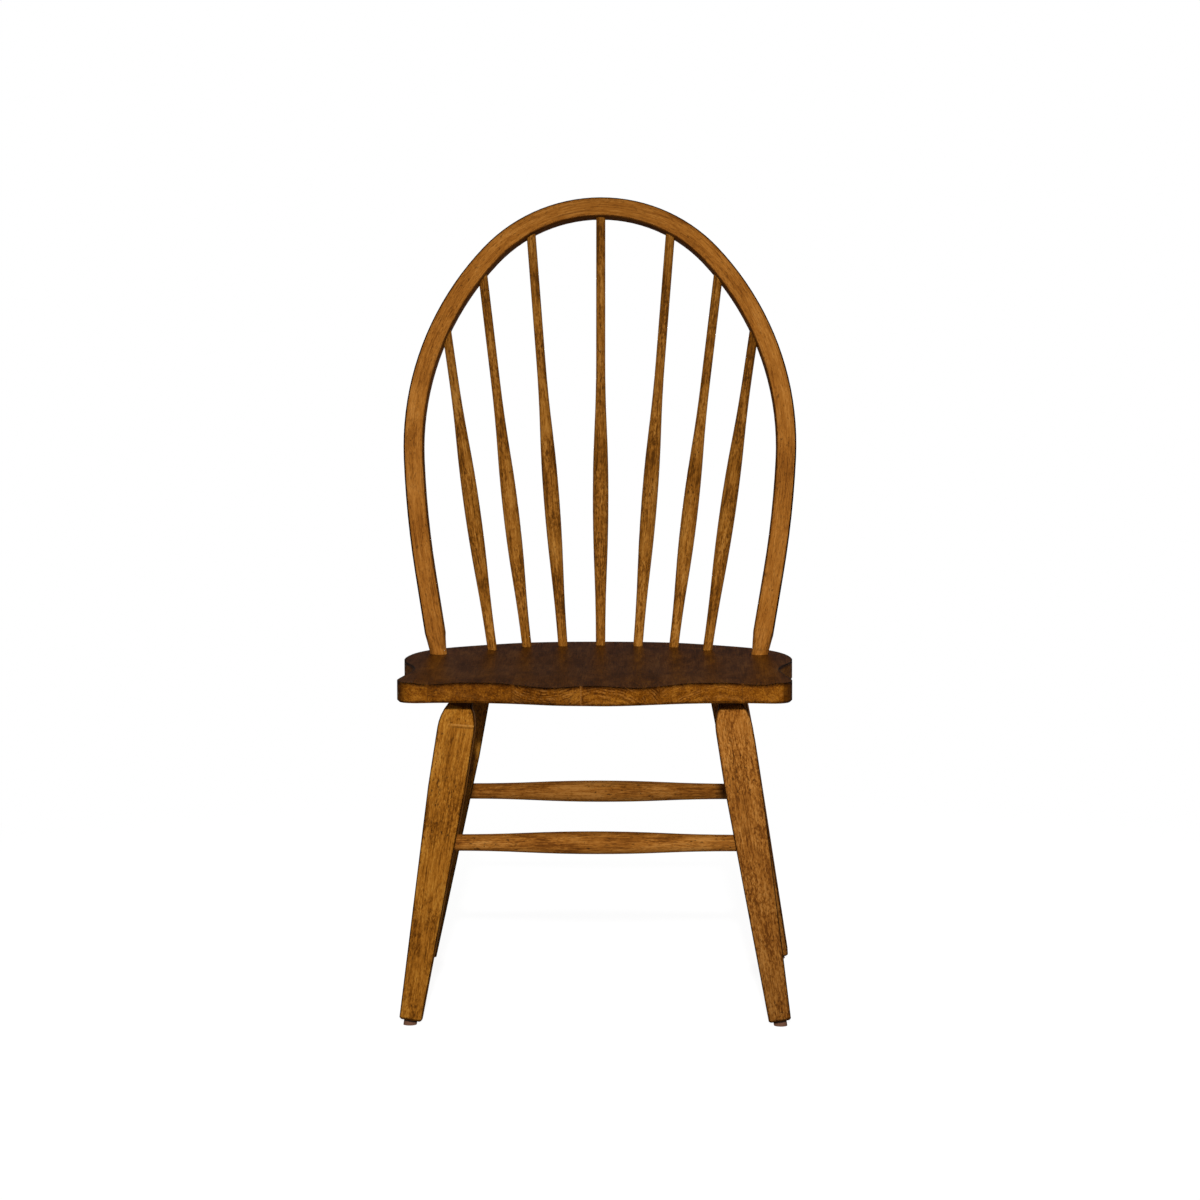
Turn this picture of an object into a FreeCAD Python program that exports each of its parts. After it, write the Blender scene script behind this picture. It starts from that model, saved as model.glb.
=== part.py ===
import FreeCAD, Part
import math
import os

from FreeCAD import Vector

os.makedirs("parts", exist_ok=True)

# Bow-back windsor side chair, in millimetres.
# Z is up, the sitter faces -Y and X is the sitter's width.
# While it is built, depth is measured back from the straight part of the seat's front edge.
# At the end everything moves back so that the origin is on the floor, under the middle of the chair.

# Seat board
SEAT_HEIGHT = 457.0
SEAT_THICKNESS = 27.0
SEAT_HALF_WIDTH = 263.0
SEAT_DEPTH = 436.5
SEAT_BOW = 30.0
SEAT_BOTTOM_BEVEL = 2.2

# Hollows of the seat
SADDLE_DEPTH = 6.0
SADDLE_HALF_SPREAD = 88.0
SADDLE_DEPTH_SPREAD = 118.0
THIGH_DIP = 3.4
THIGH_DIP_HALF_SPREAD = 36.0
THIGH_DIP_DEPTH_SPREAD = 72.0

# Hoop
HOOP_RISE = 640.6
HOOP_LEAN_DEG = 15.0
HOOP_WIDTH = 28.0
HOOP_THICKNESS = 25.0
HOOP_ROUND = 4.0
HOOP_TENON_DIAMETER = 23.0
HOOP_NECK_LENGTH = 24.0
HOOP_NECK_LIFT = 4.5

# Wedge that spreads each hoop tenon from below
WEDGE_LENGTH = 18.0
WEDGE_THICK_END = 3.0
WEDGE_THIN_END = 1.0
WEDGE_WIDTH = 20.0

# Spindles
SPINDLE_BASE_DIAMETER = 13.2
SPINDLE_SWELL_DIAMETER = 22.0
SPINDLE_TOP_DIAMETER = 12.8
SPINDLE_SEAT_MORTISE = 17.0
SPINDLE_HOOP_MORTISE = 13.0

# Legs
LEG_WIDTH = 49.0
LEG_THICKNESS = 38.0
LEG_NECK_WIDTH = 31.0
LEG_NECK_THICKNESS = 27.0
LEG_NECK_HEIGHT = 12.0
LEG_SHOULDER_HEIGHT = 33.0
LEG_FULL_HEIGHT = 78.0
LEG_FOOT_WIDTH = 29.5
LEG_FOOT_THICKNESS = 28.0
LEG_ROUND = 2.4
LEG_FOOT_BEVEL = 2.2
LEG_TENON_DIAMETER = 25.0
LEG_TENON_LENGTH = 17.0
FRONT_LEG_FOOT_HALF = 243.5
FRONT_LEG_FOOT_DEPTH = 28.0
REAR_LEG_FOOT_HALF = 251.5
REAR_LEG_FOOT_DEPTH = 465.0

# Stretchers
STRETCHER_SWELL_DIAMETER = 30.0
STRETCHER_END_DIAMETER = 21.8
FRONT_STRETCHER_HEIGHT = 238.0
REAR_STRETCHER_HEIGHT = 249.0
SIDE_STRETCHER_HEIGHT = 291.0
STRETCHER_AXIS_GAP = 2.0

# Nailed glides under the feet
GLIDE_DIAMETER = 17.5
GLIDE_CUP_THICKNESS = 2.4
GLIDE_LIFT = 6.2
NAIL_DIAMETER = 2.4
NAIL_LENGTH = 17.0
NAIL_HEAD_DIAMETER = 7.0
NAIL_HEAD_THICKNESS = 1.2

# Brads that lock the tenons
BRAD_DIAMETER = 1.6
BRAD_LENGTH = 19.0
BRAD_SINK = 1.2

# Flats that stand for each rounded corner of the hoop and the legs
CORNER_FLATS = 3
QUARTER_TURN_DEG = 90.0
FULL_TURN_DEG = 360.0

# Clearances
JOINT_CLEARANCE = 0.15
MORTISE_END_GAP = 0.5
BRAD_CLEARANCE = 0.06
CUT_OVERRUN = 60.0

# Half of the seat's outline, from the front centre to the back centre.
# The first pairs are shares of the half width and of the bow, the others of half width and depth.
seat_bow_shares = (
    (0.0, -1.0),
    (0.171, -0.88),
    (0.335, -0.47),
    (0.487, -0.15),
    (0.665, 0.0),
    (0.817, -0.06),
    (0.9, -0.11),
)
seat_side_shares = (
    (0.951, 0.007),
    (0.975, 0.041),
    (0.97, 0.102),
    (0.947, 0.182),
    (0.926, 0.268),
    (0.924, 0.341),
    (0.947, 0.42),
    (0.985, 0.495),
    (1.0, 0.561),
    (0.992, 0.632),
    (0.958, 0.711),
    (0.882, 0.791),
    (0.76, 0.861),
    (0.608, 0.918),
    (0.437, 0.964),
    (0.228, 0.993),
    (0.0, 1.0),
)

# Where the hollows lie, and where the glue lines between the six boards run
saddle_place_shares = (0.4, 0.49)
thigh_dip_place_shares = (0.235, -0.02)
glue_line_shares = (-0.82, -0.402, -0.062, 0.32, 0.73)

# Where the hoop's feet stand, as a share of the seat's depth
HOOP_FOOT_SHARE = 0.6965

# The hoop's outer edge, from its top down each side: arcs with radii as shares of the seat's half width
hoop_radius_shares = (0.843, 1.5574, 5.2738)
HOOP_TURNS_DEG = (47.4, 45.5, 6.7)

# Where the legs' axes meet the underside of the seat, as shares of half width and depth
front_leg_top_shares = (0.6673, 0.165)
rear_leg_top_shares = (0.6475, 0.8385)

# Feet of the spindles on the seat, outwards from the middle one, and how far round the hoop they end
spindle_foot_shares = (
    (0.0, 0.92),
    (0.199, 0.903),
    (0.389, 0.885),
    (0.567, 0.814),
)
SPINDLE_TOP_TURNS_DEG = (0.0, 30.0, 52.2, 66.7)

# Where each spindle is fullest, and how far above that it is slim again.
# Both are shares of the outermost spindle's length.
spindle_swell_shares = (0.475, 0.475, 0.41, 0.45)
SPINDLE_TAPER_SHARE = 0.435

# Part of a stretcher's half length that tapers, before the plain end that goes into the leg
STRETCHER_TAPER_SHARE = 0.89

SEAT_BOTTOM = SEAT_HEIGHT - SEAT_THICKNESS
X_AXIS = Vector(1, 0, 0)
Y_AXIS = Vector(0, 1, 0)
Z_AXIS = Vector(0, 0, 1)
ORIGIN = Vector(0, 0, 0)


def sin_deg(angle):
    return math.sin(math.radians(angle))


def cos_deg(angle):
    return math.cos(math.radians(angle))


def unit(vector):
    return Vector(vector).normalize()


def line(start, end):
    return Part.LineSegment(start, end).toShape()


def arc(start, middle, end):
    return Part.Arc(start, middle, end).toShape()


def mirrored(shape):
    return shape.mirror(ORIGIN, X_AXIS)


def rod(start, direction, length, diameter):
    return Part.makeCylinder(diameter / 2, length, start, direction)


def placed(shape, origin, x_dir, z_dir):
    """A copy whose own X and Z axes point along x_dir and z_dir."""
    y_dir = z_dir.cross(x_dir)
    matrix = FreeCAD.Matrix(
        x_dir.x, y_dir.x, z_dir.x, origin.x,
        x_dir.y, y_dir.y, z_dir.y, origin.y,
        x_dir.z, y_dir.z, z_dir.z, origin.z,
        0, 0, 0, 1,
    )
    copy = shape.copy()
    copy.Placement = FreeCAD.Placement(matrix)
    return copy


def slab_below(height):
    """A block that reaches from the given height down past everything near it."""
    reach = SEAT_HALF_WIDTH + SEAT_DEPTH
    corner = Vector(-reach, -reach, height - reach)
    return Part.makeBox(2 * reach, 3 * reach, reach, corner)


def ring_corners(half_a, half_b, radius):
    """Corners of a rectangle whose own corners are rounded in a few equal flats."""
    corners = []
    for quarter in range(4):
        start = QUARTER_TURN_DEG * quarter
        centre_a = math.copysign(half_a - radius, cos_deg(start + QUARTER_TURN_DEG / 2))
        centre_b = math.copysign(half_b - radius, sin_deg(start + QUARTER_TURN_DEG / 2))
        for step in range(CORNER_FLATS + 1):
            angle = start + QUARTER_TURN_DEG * step / CORNER_FLATS
            corners.append((centre_a + radius * cos_deg(angle), centre_b + radius * sin_deg(angle)))
    return corners


def rounded_ring(centre, a_dir, b_dir, half_a, half_b, radius):
    """The same rectangle as a closed wire about a centre."""
    points = [centre + a_dir * a + b_dir * b for a, b in ring_corners(half_a, half_b, radius)]
    return Part.makePolygon(points + points[:1])


def arc_from(start, tangent, end):
    """The arc that leaves start along a unit tangent and reaches end."""
    chord = end - start
    angle = tangent.getAngle(chord)
    toward_middle = unit(tangent + unit(chord))
    return arc(start, start + toward_middle * (chord.Length / 2 / math.cos(angle / 2)), end)


def smooth_loop(points):
    """A closed, level wire through the points, of pairs of arcs that run into each other smoothly."""
    curve = Part.BSplineCurve()
    curve.interpolate(points, PeriodicFlag=True)
    tangents = [unit(curve.tangent(curve.parameter(point))[0]) for point in points]
    edges = []
    for i, start in enumerate(points):
        following = (i + 1) % len(points)
        end = points[following]
        leave = tangents[i]
        arrive = tangents[following]
        chord = end - start
        along = chord.dot(leave + arrive)
        turning = 2 * (1 - leave.dot(arrive))
        reach = chord.dot(chord) / (along + math.sqrt(along ** 2 + turning * chord.dot(chord)))
        joint = (start + leave * reach + end - arrive * reach) / 2
        joint_tangent = unit(end - arrive * reach - start - leave * reach)
        edges.append(arc_from(start, leave, joint))
        edges.append(arc_from(joint, joint_tangent, end))
    return Part.Wire(edges)


def ogee(start, end):
    """Two equal arcs that leave start and reach end along the axis, for (height, radius) pairs."""
    h0, r0 = start
    h1, r1 = end
    radius = ((h1 - h0) ** 2 + (r1 - r0) ** 2) / (4 * abs(r1 - r0))
    half_angle = math.asin((h1 - h0) / 2 / radius) / 2
    along = radius * math.sin(half_angle)
    aside = math.copysign(radius * (1 - math.cos(half_angle)), r1 - r0)
    middle = Vector((r0 + r1) / 2, 0, (h0 + h1) / 2)
    first = arc(Vector(r0, 0, h0), Vector(r0 + aside, 0, h0 + along), middle)
    second = arc(middle, Vector(r1 - aside, 0, h1 - along), Vector(r1, 0, h1))
    return [first, second]


def turned_solid(side_edges, start, direction):
    """Spins an outline, drawn upwards in the XZ plane, about an axis from start along direction."""
    bottom = side_edges[0].firstVertex().Point
    top = side_edges[-1].lastVertex().Point
    low = Vector(0, 0, bottom.z)
    high = Vector(0, 0, top.z)
    wire = Part.Wire([line(low, bottom)] + side_edges + [line(top, high), line(high, low)])
    solid = Part.Face(wire).revolve(ORIGIN, Z_AXIS, FULL_TURN_DEG)
    across = unit(Y_AXIS.cross(direction) if abs(direction.y) < abs(direction.z) else Z_AXIS.cross(direction))
    return placed(solid, start, across, direction)


# Seat


def seat_outline():
    half = [Vector(x * SEAT_HALF_WIDTH, y * SEAT_BOW, SEAT_BOTTOM) for x, y in seat_bow_shares]
    half += [Vector(x * SEAT_HALF_WIDTH, y * SEAT_DEPTH, SEAT_BOTTOM) for x, y in seat_side_shares]
    other = [Vector(-point.x, point.y, point.z) for point in reversed(half[1:-1])]
    return smooth_loop(half + other)


def seat_top_height(x, y):
    """The two seat hollows and the two dips for the thighs, which leave a low pommel between them."""
    height = SEAT_HEIGHT
    hollows = (
        (SADDLE_DEPTH, saddle_place_shares, SADDLE_HALF_SPREAD, SADDLE_DEPTH_SPREAD),
        (THIGH_DIP, thigh_dip_place_shares, THIGH_DIP_HALF_SPREAD, THIGH_DIP_DEPTH_SPREAD),
    )
    for depth, place, half_spread, depth_spread in hollows:
        for side in (-1, 1):
            across = (x - side * place[0] * SEAT_HALF_WIDTH) / half_spread
            back = (y - place[1] * SEAT_DEPTH) / depth_spread
            height -= depth * math.exp(-across ** 2 - back ** 2)
    return height


def seat_top_tool():
    """Everything above the seat's hollowed surface."""
    columns = 11
    rows = 9
    reach = SEAT_HALF_WIDTH + SEAT_BOW
    front = -2 * SEAT_BOW
    back = SEAT_DEPTH + SEAT_BOW
    grid = []
    for i in range(columns):
        x = -reach + 2 * reach * i / (columns - 1)
        depths = [front + (back - front) * j / (rows - 1) for j in range(rows)]
        grid.append([Vector(x, y, seat_top_height(x, y)) for y in depths])
    surface = Part.BSplineSurface()
    surface.interpolate(grid)
    return surface.toShape().extrude(Vector(0, 0, SEAT_THICKNESS))


def make_seat_blank():
    blank = Part.Face(seat_outline()).extrude(Vector(0, 0, SEAT_THICKNESS))
    blank = blank.cut(seat_top_tool())
    foot = [edge for edge in blank.Edges if edge.BoundBox.ZMax < SEAT_BOTTOM + SEAT_BOTTOM_BEVEL]
    return blank.makeChamfer(SEAT_BOTTOM_BEVEL, foot)


def split_seat(seat):
    """Cuts the shaped seat along its glue lines into the boards it was glued up from."""
    reach = SEAT_HALF_WIDTH + SEAT_BOW
    lines = [-reach] + [share * SEAT_HALF_WIDTH for share in glue_line_shares] + [reach]
    boards = []
    for left, right in zip(lines, lines[1:]):
        corner = Vector(left, -reach, SEAT_BOTTOM - SEAT_BOW)
        block = Part.makeBox(right - left, 4 * reach, SEAT_HEIGHT, corner)
        boards.append(seat.common(block))
    return boards


# Hoop

HOOP_ARCS = [(share * SEAT_HALF_WIDTH, turn) for share, turn in zip(hoop_radius_shares, HOOP_TURNS_DEG)]
HOOP_FULL_TURN_DEG = sum(HOOP_TURNS_DEG)
HOOP_UP = Vector(0, sin_deg(HOOP_LEAN_DEG), cos_deg(HOOP_LEAN_DEG))
HOOP_BACK = HOOP_UP.cross(X_AXIS)
HOOP_ORIGIN = Vector(0, HOOP_FOOT_SHARE * SEAT_DEPTH, SEAT_HEIGHT)


def hoop_point(turn, outward=0.0):
    """A point of the hoop's flat curve in its own plane, after the given turn from its top."""
    x = 0.0
    z = HOOP_RISE - HOOP_WIDTH / 2
    done = 0.0
    for outer_radius, sweep in HOOP_ARCS:
        radius = outer_radius - HOOP_WIDTH / 2
        end = min(turn, done + sweep)
        x += radius * (sin_deg(end) - sin_deg(done))
        z -= radius * (cos_deg(done) - cos_deg(end))
        done = end
    return Vector(x + outward * sin_deg(turn), 0, z + outward * cos_deg(turn))


HOOP_FOOT_DIR = Vector(cos_deg(HOOP_FULL_TURN_DEG), 0, -sin_deg(HOOP_FULL_TURN_DEG))
HOOP_SIDE_END = hoop_point(HOOP_FULL_TURN_DEG)
HOOP_FOOT = HOOP_SIDE_END + HOOP_FOOT_DIR * (-HOOP_SIDE_END.z / HOOP_FOOT_DIR.z)
HOOP_NECK_START = HOOP_FOOT - HOOP_FOOT_DIR * (HOOP_NECK_LIFT + HOOP_NECK_LENGTH)
HOOP_NECK_END = HOOP_FOOT - HOOP_FOOT_DIR * HOOP_NECK_LIFT


def from_hoop_plane(point):
    return HOOP_ORIGIN + X_AXIS * point.x + HOOP_UP * point.z


def hoop_section(centre, along):
    """The rounded rectangle that the hoop has nearly all round."""
    return rounded_ring(centre, Y_AXIS.cross(along), Y_AXIS, HOOP_WIDTH / 2, HOOP_THICKNESS / 2, HOOP_ROUND)


def hoop_tenon_ring(centre, along):
    """The tenon's circle, split where the hoop's section has its corners."""
    across = Y_AXIS.cross(along)
    radius = HOOP_TENON_DIAMETER / 2
    corners = ring_corners(HOOP_WIDTH / 2, HOOP_THICKNESS / 2, HOOP_ROUND)
    angles = [math.atan2(b, a) for a, b in corners]

    def rim(angle):
        return centre + across * (radius * math.cos(angle)) + Y_AXIS * (radius * math.sin(angle))

    edges = []
    for i, angle in enumerate(angles):
        following = angles[(i + 1) % len(angles)]
        if following < angle:
            following += 2 * math.pi
        edges.append(arc(rim(angle), rim((angle + following) / 2), rim(following)))
    return Part.Wire(edges)


def hoop_path():
    """The bent stretch's centre line, from one neck over the top to the other."""
    right = [line(HOOP_NECK_START, HOOP_SIDE_END)]
    done = HOOP_FULL_TURN_DEG
    for radius, sweep in reversed(HOOP_ARCS[1:]):
        right.append(arc(hoop_point(done), hoop_point(done - sweep / 2), hoop_point(done - sweep)))
        done -= sweep
    shoulder = hoop_point(done)
    top = arc(shoulder, hoop_point(0.0), Vector(-shoulder.x, 0, shoulder.z))
    left = [mirrored(edge) for edge in reversed(right)]
    return Part.Wire(Part.sortEdges(right + [top] + left)[0])


def make_hoop():
    path = hoop_path()
    rise_dir = HOOP_FOOT_DIR * -1
    section = hoop_section(HOOP_NECK_START, rise_dir)
    bow = path.makePipeShell([section], True, False)
    neck = Part.makeLoft([section, hoop_tenon_ring(HOOP_NECK_END, rise_dir)], True, True)
    tenon_length = HOOP_NECK_LIFT + SEAT_THICKNESS + CUT_OVERRUN
    tenon = rod(HOOP_NECK_END, HOOP_FOOT_DIR, tenon_length, HOOP_TENON_DIAMETER)
    hoop = bow.fuse([neck, tenon, mirrored(neck), mirrored(tenon)])
    hoop = placed(hoop, HOOP_ORIGIN, X_AXIS, HOOP_UP)
    hoop = hoop.cut(slab_below(SEAT_BOTTOM))
    return hoop.removeSplitter()


def hoop_foot_line():
    """The right tenon's axis: a point at seat level and the downward direction."""
    down = X_AXIS * HOOP_FOOT_DIR.x + HOOP_UP * HOOP_FOOT_DIR.z
    return from_hoop_plane(HOOP_FOOT), down


def hoop_mortise():
    foot, down = hoop_foot_line()
    start = foot - down * HOOP_NECK_LENGTH
    return rod(start, down, SEAT_THICKNESS + CUT_OVERRUN, HOOP_TENON_DIAMETER + 2 * JOINT_CLEARANCE)


def make_wedge(clearance):
    """The right wedge: thick end flush with the underside, thin end up in the tenon."""
    foot, down = hoop_foot_line()
    base = foot + down * (-SEAT_THICKNESS / down.z)
    half_thick = WEDGE_THICK_END / 2 + clearance
    half_thin = WEDGE_THIN_END / 2 + clearance
    half_width = WEDGE_WIDTH / 2 + clearance
    height = WEDGE_LENGTH + clearance
    taper = (half_thick - half_thin) / height
    overrun = SEAT_THICKNESS
    low = half_thick + taper * overrun
    points = [
        Vector(-half_width, -low, -overrun), Vector(-half_width, low, -overrun),
        Vector(-half_width, half_thin, height), Vector(-half_width, -half_thin, height),
    ]
    wire = Part.makePolygon(points + points[:1])
    wedge = Part.Face(wire).extrude(Vector(2 * half_width, 0, 0))
    across = unit(Y_AXIS.cross(down * -1))
    return placed(wedge, base, across, down * -1).cut(slab_below(SEAT_BOTTOM))


# Spindles


def spindle_line(place):
    """Foot point, direction and visible length of the spindle at this place from the middle."""
    share_x, share_y = spindle_foot_shares[place]
    foot = Vector(share_x * SEAT_HALF_WIDTH, share_y * SEAT_DEPTH, SEAT_HEIGHT)
    top = from_hoop_plane(hoop_point(SPINDLE_TOP_TURNS_DEG[place], -HOOP_WIDTH / 2))
    span = top - foot
    return foot, unit(span), span.Length


def spindle_hoop_tenon(place):
    """Length in the hoop, longer where the spindle meets the bend at a slant."""
    turn = SPINDLE_TOP_TURNS_DEG[place]
    outward = X_AXIS * sin_deg(turn) + HOOP_UP * cos_deg(turn)
    direction = spindle_line(place)[1]
    return SPINDLE_HOOP_MORTISE / direction.dot(outward)


OUTER_SPINDLE = len(spindle_foot_shares) - 1
SWELL_REACH = spindle_line(OUTER_SPINDLE)[2]


def make_spindle(place):
    """Plain tenon, ogee up to the swell, ogee down to the slim upper part, plain to its end in the hoop."""
    foot, direction, length = spindle_line(place)
    base = SPINDLE_BASE_DIAMETER / 2
    full = SPINDLE_SWELL_DIAMETER / 2
    slim = SPINDLE_TOP_DIAMETER / 2
    swell = spindle_swell_shares[place] * SWELL_REACH
    slim_start = swell + SPINDLE_TAPER_SHARE * SWELL_REACH
    top = length + spindle_hoop_tenon(place)
    side = [line(Vector(base, 0, -SPINDLE_SEAT_MORTISE), Vector(base, 0, 0))]
    side += ogee((0.0, base), (swell, full))
    side += ogee((swell, full), (slim_start, slim))
    side.append(line(Vector(slim, 0, slim_start), Vector(slim, 0, top)))
    return turned_solid(side, foot, direction)


def spindle_seat_hole(place):
    foot, direction, length = spindle_line(place)
    depth = SPINDLE_SEAT_MORTISE + MORTISE_END_GAP
    start = foot - direction * depth
    return rod(start, direction, depth + CUT_OVERRUN, SPINDLE_BASE_DIAMETER + 2 * JOINT_CLEARANCE)


def spindle_hoop_hole(place):
    foot, direction, length = spindle_line(place)
    depth = spindle_hoop_tenon(place) + MORTISE_END_GAP
    start = foot + direction * (length - CUT_OVERRUN)
    return rod(start, direction, depth + CUT_OVERRUN, SPINDLE_TOP_DIAMETER + 2 * JOINT_CLEARANCE)


def spindle_brad(place, clearance):
    """A brad driven in from the hoop's back, square to it, through the tenon."""
    foot, direction, length = spindle_line(place)
    middle = foot + direction * (length + spindle_hoop_tenon(place) / 2)
    off_plane = (middle - HOOP_ORIGIN).dot(HOOP_BACK)
    head = middle + HOOP_BACK * (HOOP_THICKNESS / 2 - BRAD_SINK - off_plane)
    return brad(head, HOOP_BACK * -1, clearance)


def brad(head, direction, clearance):
    """A headless brad, or with a clearance the hole that it made from the surface inwards."""
    outside = BRAD_SINK + CUT_OVERRUN if clearance else 0.0
    start = head - direction * outside
    return rod(start, direction, outside + BRAD_LENGTH + clearance, BRAD_DIAMETER + 2 * clearance)


# Legs



def leg_top(shares):
    return Vector(shares[0] * SEAT_HALF_WIDTH, shares[1] * SEAT_DEPTH, SEAT_BOTTOM)


LEG_LINES = {
    "front": (leg_top(front_leg_top_shares), Vector(FRONT_LEG_FOOT_HALF, FRONT_LEG_FOOT_DEPTH, 0)),
    "rear": (leg_top(rear_leg_top_shares), Vector(REAR_LEG_FOOT_HALF, REAR_LEG_FOOT_DEPTH, 0)),
}


def leg_up(end):
    top, foot = LEG_LINES[end]
    return unit(top - foot)


def leg_across(end):
    up = leg_up(end)
    return unit(X_AXIS - up * up.x)


def leg_point(end, height):
    """The point of the leg's axis at this height above the floor."""
    top, foot = LEG_LINES[end]
    return foot + (top - foot) * (height / SEAT_BOTTOM)


def leg_length(end):
    """From the foot's end to the underside of the seat, along the axis."""
    return (leg_point(end, SEAT_BOTTOM) - leg_point(end, GLIDE_LIFT)).Length


def leg_ring(height, width, thickness):
    centre = Vector(0, 0, height)
    return rounded_ring(centre, X_AXIS, Y_AXIS, width / 2, thickness / 2, LEG_ROUND)


def shoulder_size(full, neck, share):
    """Width or thickness part of the way up the shoulder, which rounds in along an arc."""
    drop = (full - neck) / 2
    radius = (LEG_SHOULDER_HEIGHT ** 2 + drop ** 2) / (2 * drop)
    up = share * LEG_SHOULDER_HEIGHT
    return full - 2 * (radius - math.sqrt(radius ** 2 - up ** 2))


def make_leg(end):
    """The right leg of this end: straight taper, straight upper part, rounded shoulder, neck and tenon."""
    length = leg_length(end)
    neck_start = length - LEG_NECK_HEIGHT
    shoulder = neck_start - LEG_SHOULDER_HEIGHT
    taper_top = shoulder - LEG_FULL_HEIGHT
    foot_rings = []
    for height, inset in ((0, LEG_FOOT_BEVEL), (LEG_FOOT_BEVEL, 0)):
        foot_rings.append(leg_ring(height, LEG_FOOT_WIDTH - 2 * inset, LEG_FOOT_THICKNESS - 2 * inset))
    taper_ring = leg_ring(taper_top, LEG_WIDTH, LEG_THICKNESS)
    shoulder_rings = []
    steps = 4
    for step in range(steps + 1):
        share = step / steps
        width = shoulder_size(LEG_WIDTH, LEG_NECK_WIDTH, share)
        thickness = shoulder_size(LEG_THICKNESS, LEG_NECK_THICKNESS, share)
        shoulder_rings.append(leg_ring(shoulder + share * LEG_SHOULDER_HEIGHT, width, thickness))
    top_ring = leg_ring(length + LEG_WIDTH, LEG_NECK_WIDTH, LEG_NECK_THICKNESS)
    leg = Part.makeLoft(foot_rings + [taper_ring] + shoulder_rings + [top_ring], True, True)
    leg = placed(leg, leg_point(end, GLIDE_LIFT), leg_across(end), leg_up(end))
    leg = leg.common(slab_below(SEAT_BOTTOM))
    top = leg_point(end, SEAT_BOTTOM)
    start = top - leg_up(end) * LEG_NECK_HEIGHT
    tenon = rod(start, leg_up(end), LEG_NECK_HEIGHT + LEG_TENON_LENGTH, LEG_TENON_DIAMETER)
    return leg.fuse(tenon).removeSplitter()


def leg_seat_hole(end):
    top = leg_point(end, SEAT_BOTTOM)
    up = leg_up(end)
    depth = LEG_TENON_LENGTH + MORTISE_END_GAP
    start = top - up * CUT_OVERRUN
    return rod(start, up, CUT_OVERRUN + depth, LEG_TENON_DIAMETER + 2 * JOINT_CLEARANCE)


# Stretchers

STRETCHER_LINES = {
    "front": (leg_point("front", FRONT_STRETCHER_HEIGHT), None),
    "rear": (leg_point("rear", REAR_STRETCHER_HEIGHT), None),
    "side": (leg_point("front", SIDE_STRETCHER_HEIGHT), leg_point("rear", SIDE_STRETCHER_HEIGHT)),
}


def stretcher_line(which):
    """Middle, direction and half length of a stretcher: across the chair, or along its right side."""
    start, end = STRETCHER_LINES[which]
    if end is None:
        end = Vector(-start.x, start.y, start.z)
    middle = (start + end) / 2
    half = (end - start).Length / 2 - STRETCHER_AXIS_GAP
    return middle, unit(end - start), half


def make_stretcher(which):
    """Plain ends, and between them a long slender swell that rises and falls along four arcs."""
    middle, direction, half = stretcher_line(which)
    full = STRETCHER_SWELL_DIAMETER / 2
    end = STRETCHER_END_DIAMETER / 2
    taper = STRETCHER_TAPER_SHARE * half
    side = [line(Vector(end, 0, -half), Vector(end, 0, -taper))]
    side += ogee((-taper, end), (0.0, full))
    side += ogee((0.0, full), (taper, end))
    side.append(line(Vector(end, 0, taper), Vector(end, 0, half)))
    return turned_solid(side, middle, direction)


def stretcher_hole(which):
    """The two mortises of a stretcher, as one rod cut off at the stretcher's ends."""
    middle, direction, half = stretcher_line(which)
    reach = half + MORTISE_END_GAP
    return rod(middle - direction * reach, direction, 2 * reach, STRETCHER_END_DIAMETER + 2 * JOINT_CLEARANCE)


def leg_half_size_at(end, height, full, foot):
    """Half of the leg's tapering width or thickness at this height."""
    from_foot = (leg_point(end, height) - leg_point(end, GLIDE_LIFT)).Length
    taper = leg_length(end) - LEG_NECK_HEIGHT - LEG_SHOULDER_HEIGHT - LEG_FULL_HEIGHT
    share = min(1.0, from_foot / taper)
    return (foot + (full - foot) * share) / 2


def stretcher_brad(which, end, clearance):
    """A brad through a right-hand tenon, driven from a face of the leg that the sitter can't see."""
    middle, direction, half = stretcher_line(which)
    if which == "side":
        way = direction if end == "rear" else direction * -1
        inward = leg_across(end) * -1
        height = SIDE_STRETCHER_HEIGHT
        half_size = leg_half_size_at(end, height, LEG_WIDTH, LEG_FOOT_WIDTH)
    else:
        way = X_AXIS
        facing = leg_up(end).cross(leg_across(end))
        inward = facing if end == "front" else facing * -1
        height = FRONT_STRETCHER_HEIGHT if end == "front" else REAR_STRETCHER_HEIGHT
        half_size = leg_half_size_at(end, height, LEG_THICKNESS, LEG_FOOT_THICKNESS)
    tenon_point = middle + way * (half - STRETCHER_END_DIAMETER / 3)
    off_axis = (tenon_point - leg_point(end, height)).dot(inward)
    head = tenon_point + inward * (half_size - BRAD_SINK - off_axis)
    return brad(head, inward * -1, clearance)


# Glides


def glide_rod(end, start_drop, thickness, diameter):
    """A disc under the foot, square to the leg, that starts this far below the foot's end."""
    down = leg_up(end) * -1
    return rod(leg_point(end, GLIDE_LIFT) + down * start_drop, down, thickness, diameter)


def glide_nail(end, clearance):
    """Shank up into the foot and a flat head under the cup."""
    down = leg_up(end) * -1
    foot = leg_point(end, GLIDE_LIFT)
    head_top = GLIDE_CUP_THICKNESS - NAIL_HEAD_THICKNESS
    shank_start = foot - down * (NAIL_LENGTH - head_top + clearance)
    shank = rod(shank_start, down, NAIL_LENGTH + clearance, NAIL_DIAMETER + 2 * clearance)
    head_diameter = NAIL_HEAD_DIAMETER + 2 * clearance
    head = glide_rod(end, head_top - clearance, NAIL_HEAD_THICKNESS + clearance, head_diameter)
    return shank.fuse(head)


def make_glide_cup(end):
    cup = glide_rod(end, 0.0, GLIDE_CUP_THICKNESS, GLIDE_DIAMETER)
    return cup.cut(glide_nail(end, BRAD_CLEARANCE))


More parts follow.
